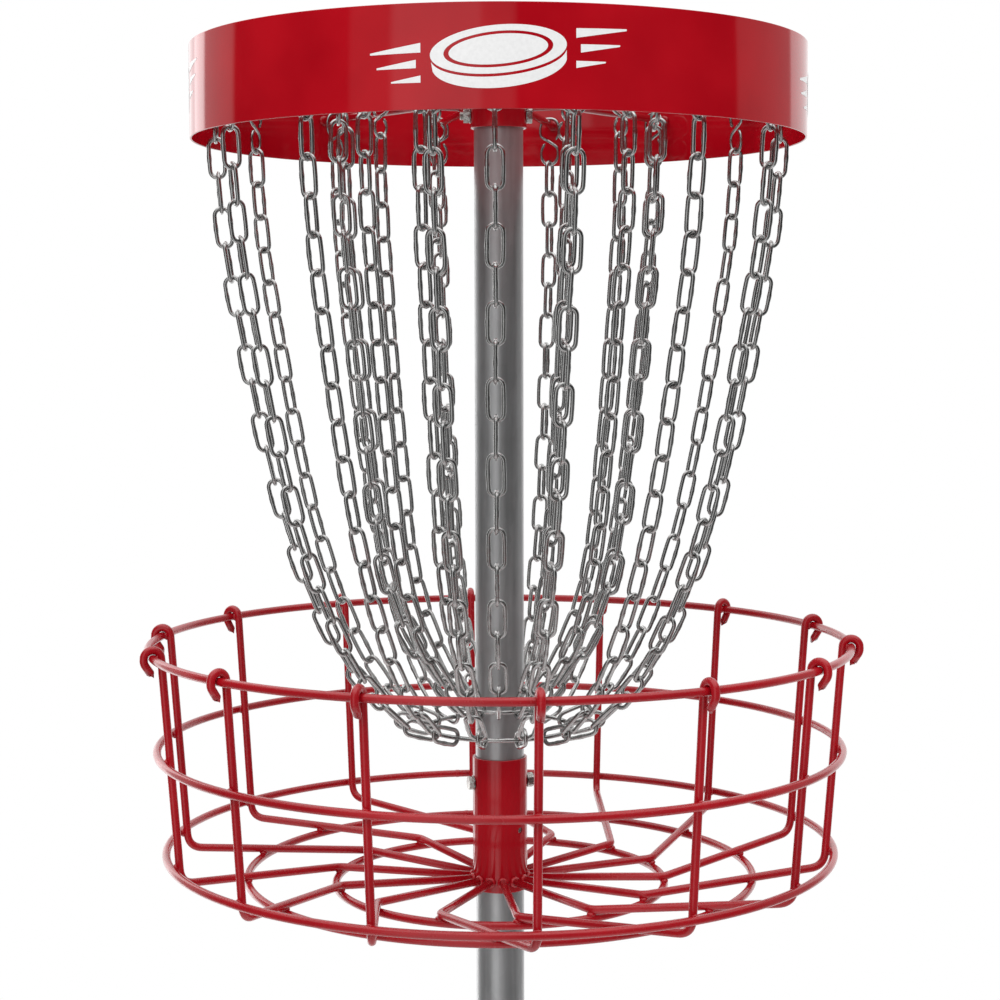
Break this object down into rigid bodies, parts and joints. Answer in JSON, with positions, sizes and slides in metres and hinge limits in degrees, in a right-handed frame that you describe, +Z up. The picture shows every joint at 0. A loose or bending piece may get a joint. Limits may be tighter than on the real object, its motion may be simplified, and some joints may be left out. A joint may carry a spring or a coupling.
{
  "type": "disc golf basket",
  "caption": "Disc golf target: a wire tray on a pole, with two rows of chains hanging from a banded rack down to rings round the pole, standing in a ground sleeve.",
  "frame": {"origin": "on the pole's axis at ground level, where the sleeve goes into the ground", "axes": "+Z up along the pole; -Y is the front, which carries the band's graphic; +X is the padlock tab's side, on the front's right"},
  "size_m": [0.7118, 0.7142, 1.8033],
  "materials": {
    "red_wire": "satin-gloss red powder coat on round steel wire",
    "red_rod": "satin-gloss red powder coat on welded steel rod",
    "red_tube": "glossy red powder coat on steel tube",
    "red_sheet": "glossy red powder coat on rolled steel sheet, with a plain white graphic",
    "galvanised_pole": "galvanised steel tube, mid grey with faint vertical streaks",
    "zinc_chain": "zinc-plated welded link chain, grey with bright edges",
    "zinc_ring": "zinc-plated steel wire ring",
    "zinc_bolt": "bright zinc-plated fasteners",
    "white_print": "flat white printed graphic on the band",
    "ground_steel": "dull hot-dip galvanised steel"
  },
  "bodies": {
    "ground_sleeve": {"ground_sleeve": "ground_steel"},
    "mast": {"lock_collar": "ground_steel", "pole": "galvanised_pole", "top_rack": "red_rod", "top_band": "red_sheet", "rack_bolt": "zinc_bolt", "tray_collar": "red_tube", "tray_bolt": "zinc_bolt", "tray_set_screw": "zinc_bolt", "rim_ring": "red_wire", "middle_ring": "red_wire", "lower_ring": "red_wire", "outer_floor_ring": "red_wire", "inner_floor_ring": "red_wire", "tray_wire_01": "red_wire", "tray_wire_02": "red_wire", "tray_wire_03": "red_wire", "tray_wire_04": "red_wire", "tray_wire_05": "red_wire", "tray_wire_06": "red_wire", "tray_wire_07": "red_wire", "tray_wire_08": "red_wire", "tray_wire_09": "red_wire", "tray_wire_10": "red_wire", "tray_wire_11": "red_wire", "tray_wire_12": "red_wire", "tray_wire_13": "red_wire", "tray_wire_14": "red_wire"},
    "outer_ring": {"outer_chain_ring": "zinc_ring"},
    "inner_ring": {"inner_chain_ring": "zinc_ring"},
    "outer_chain_01": {"outer_chain_01": "zinc_chain"},
    "inner_chain_01": {"inner_chain_01": "zinc_chain"},
    "outer_chain_02": {"outer_chain_02": "zinc_chain"},
    "inner_chain_02": {"inner_chain_02": "zinc_chain"},
    "outer_chain_03": {"outer_chain_03": "zinc_chain"},
    "inner_chain_03": {"inner_chain_03": "zinc_chain"},
    "outer_chain_04": {"outer_chain_04": "zinc_chain"},
    "inner_chain_04": {"inner_chain_04": "zinc_chain"},
    "outer_chain_05": {"outer_chain_05": "zinc_chain"},
    "inner_chain_05": {"inner_chain_05": "zinc_chain"},
    "outer_chain_06": {"outer_chain_06": "zinc_chain"},
    "inner_chain_06": {"inner_chain_06": "zinc_chain"},
    "outer_chain_07": {"outer_chain_07": "zinc_chain"},
    "inner_chain_07": {"inner_chain_07": "zinc_chain"},
    "outer_chain_08": {"outer_chain_08": "zinc_chain"},
    "inner_chain_08": {"inner_chain_08": "zinc_chain"},
    "outer_chain_09": {"outer_chain_09": "zinc_chain"},
    "inner_chain_09": {"inner_chain_09": "zinc_chain"},
    "outer_chain_10": {"outer_chain_10": "zinc_chain"},
    "inner_chain_10": {"inner_chain_10": "zinc_chain"},
    "outer_chain_11": {"outer_chain_11": "zinc_chain"},
    "inner_chain_11": {"inner_chain_11": "zinc_chain"},
    "outer_chain_12": {"outer_chain_12": "zinc_chain"},
    "inner_chain_12": {"inner_chain_12": "zinc_chain"},
    "outer_chain_13": {"outer_chain_13": "zinc_chain"},
    "inner_chain_13": {"inner_chain_13": "zinc_chain"},
    "outer_chain_14": {"outer_chain_14": "zinc_chain"},
    "inner_chain_14": {"inner_chain_14": "zinc_chain"}
  },
  "joints": [
    {"name": "pole_lift", "type": "slide", "parent": "ground_sleeve", "child": "mast", "axis": [0, 0, 1], "range_m": [0, 0.38]},
    {"name": "outer_ring_spin", "type": "hinge", "parent": "mast", "child": "outer_ring", "pos_m": [0, 0, 0.7335], "axis": [0, 0, 1], "continuous": true},
    {"name": "inner_ring_spin", "type": "hinge", "parent": "mast", "child": "inner_ring", "pos_m": [0, 0, 0.755], "axis": [0, 0, 1], "continuous": true},
    {"name": "outer_chain_01_swing", "type": "hinge", "parent": "mast", "child": "outer_chain_01", "pos_m": [0.0173, -0.06989, 0.7335], "axis": [0.0749, -0.3025, 0.9502], "range_deg": [-40, 40]},
    {"name": "inner_chain_01_swing", "type": "hinge", "parent": "mast", "child": "inner_chain_01", "pos_m": [-0.00084, -0.03999, 0.755], "axis": [-0.004, -0.19, 0.9818], "range_deg": [-40, 40]},
    {"name": "outer_chain_02_swing", "type": "hinge", "parent": "mast", "child": "outer_chain_02", "pos_m": [0.04591, -0.05547, 0.7335], "axis": [0.1987, -0.2401, 0.9502], "range_deg": [-40, 40]},
    {"name": "inner_chain_02_swing", "type": "hinge", "parent": "mast", "child": "inner_chain_02", "pos_m": [0.0166, -0.03639, 0.755], "axis": [0.0789, -0.1729, 0.9818], "range_deg": [-40, 40]},
    {"name": "outer_chain_03_swing", "type": "hinge", "parent": "mast", "child": "outer_chain_03", "pos_m": [0.06543, -0.03005, 0.7335], "axis": [0.2832, -0.1301, 0.9502], "range_deg": [-40, 40]},
    {"name": "inner_chain_03_swing", "type": "hinge", "parent": "mast", "child": "inner_chain_03", "pos_m": [0.03074, -0.02559, 0.755], "axis": [0.1461, -0.1216, 0.9818], "range_deg": [-40, 40]},
    {"name": "outer_chain_04_swing", "type": "hinge", "parent": "mast", "child": "outer_chain_04", "pos_m": [0.07199, 0.00131, 0.7335], "axis": [0.3116, 0.0057, 0.9502], "range_deg": [-40, 40]},
    {"name": "inner_chain_04_swing", "type": "hinge", "parent": "mast", "child": "inner_chain_04", "pos_m": [0.0388, -0.00972, 0.755], "axis": [0.1844, -0.0462, 0.9818], "range_deg": [-40, 40]},
    {"name": "outer_chain_05_swing", "type": "hinge", "parent": "mast", "child": "outer_chain_05", "pos_m": [0.06429, 0.03241, 0.7335], "axis": [0.2783, 0.1403, 0.9502], "range_deg": [-40, 40]},
    {"name": "inner_chain_05_swing", "type": "hinge", "parent": "mast", "child": "inner_chain_05", "pos_m": [0.03918, 0.00808, 0.755], "axis": [0.1862, 0.0384, 0.9818], "range_deg": [-40, 40]},
    {"name": "outer_chain_06_swing", "type": "hinge", "parent": "mast", "child": "outer_chain_06", "pos_m": [0.04386, 0.0571, 0.7335], "axis": [0.1899, 0.2472, 0.9502], "range_deg": [-40, 40]},
    {"name": "inner_chain_06_swing", "type": "hinge", "parent": "mast", "child": "inner_chain_06", "pos_m": [0.03179, 0.02428, 0.755], "axis": [0.1511, 0.1154, 0.9818], "range_deg": [-40, 40]},
    {"name": "outer_chain_07_swing", "type": "hinge", "parent": "mast", "child": "outer_chain_07", "pos_m": [0.01474, 0.07047, 0.7335], "axis": [0.0638, 0.3051, 0.9502], "range_deg": [-40, 40]},
    {"name": "inner_chain_07_swing", "type": "hinge", "parent": "mast", "child": "inner_chain_07", "pos_m": [0.01811, 0.03567, 0.755], "axis": [0.086, 0.1695, 0.9818], "range_deg": [-40, 40]},
    {"name": "outer_chain_08_swing", "type": "hinge", "parent": "mast", "child": "outer_chain_08", "pos_m": [-0.0173, 0.06989, 0.7335], "axis": [-0.0749, 0.3025, 0.9502], "range_deg": [-40, 40]},
    {"name": "inner_chain_08_swing", "type": "hinge", "parent": "mast", "child": "inner_chain_08", "pos_m": [0.00084, 0.03999, 0.755], "axis": [0.004, 0.19, 0.9818], "range_deg": [-40, 40]},
    {"name": "outer_chain_09_swing", "type": "hinge", "parent": "mast", "child": "outer_chain_09", "pos_m": [-0.04591, 0.05547, 0.7335], "axis": [-0.1987, 0.2401, 0.9502], "range_deg": [-40, 40]},
    {"name": "inner_chain_09_swing", "type": "hinge", "parent": "mast", "child": "inner_chain_09", "pos_m": [-0.0166, 0.03639, 0.755], "axis": [-0.0789, 0.1729, 0.9818], "range_deg": [-40, 40]},
    {"name": "outer_chain_10_swing", "type": "hinge", "parent": "mast", "child": "outer_chain_10", "pos_m": [-0.06543, 0.03005, 0.7335], "axis": [-0.2832, 0.1301, 0.9502], "range_deg": [-40, 40]},
    {"name": "inner_chain_10_swing", "type": "hinge", "parent": "mast", "child": "inner_chain_10", "pos_m": [-0.03074, 0.02559, 0.755], "axis": [-0.1461, 0.1216, 0.9818], "range_deg": [-40, 40]},
    {"name": "outer_chain_11_swing", "type": "hinge", "parent": "mast", "child": "outer_chain_11", "pos_m": [-0.07199, -0.00131, 0.7335], "axis": [-0.3116, -0.0057, 0.9502], "range_deg": [-40, 40]},
    {"name": "inner_chain_11_swing", "type": "hinge", "parent": "mast", "child": "inner_chain_11", "pos_m": [-0.0388, 0.00972, 0.755], "axis": [-0.1844, 0.0462, 0.9818], "range_deg": [-40, 40]},
    {"name": "outer_chain_12_swing", "type": "hinge", "parent": "mast", "child": "outer_chain_12", "pos_m": [-0.06429, -0.03241, 0.7335], "axis": [-0.2783, -0.1403, 0.9502], "range_deg": [-40, 40]},
    {"name": "inner_chain_12_swing", "type": "hinge", "parent": "mast", "child": "inner_chain_12", "pos_m": [-0.03918, -0.00808, 0.755], "axis": [-0.1862, -0.0384, 0.9818], "range_deg": [-40, 40]},
    {"name": "outer_chain_13_swing", "type": "hinge", "parent": "mast", "child": "outer_chain_13", "pos_m": [-0.04386, -0.0571, 0.7335], "axis": [-0.1899, -0.2472, 0.9502], "range_deg": [-40, 40]},
    {"name": "inner_chain_13_swing", "type": "hinge", "parent": "mast", "child": "inner_chain_13", "pos_m": [-0.03179, -0.02428, 0.755], "axis": [-0.1511, -0.1154, 0.9818], "range_deg": [-40, 40]},
    {"name": "outer_chain_14_swing", "type": "hinge", "parent": "mast", "child": "outer_chain_14", "pos_m": [-0.01474, -0.07047, 0.7335], "axis": [-0.0638, -0.3051, 0.9502], "range_deg": [-40, 40]},
    {"name": "inner_chain_14_swing", "type": "hinge", "parent": "mast", "child": "inner_chain_14", "pos_m": [-0.01811, -0.03567, 0.755], "axis": [-0.086, -0.1695, 0.9818], "range_deg": [-40, 40]}
  ]
}
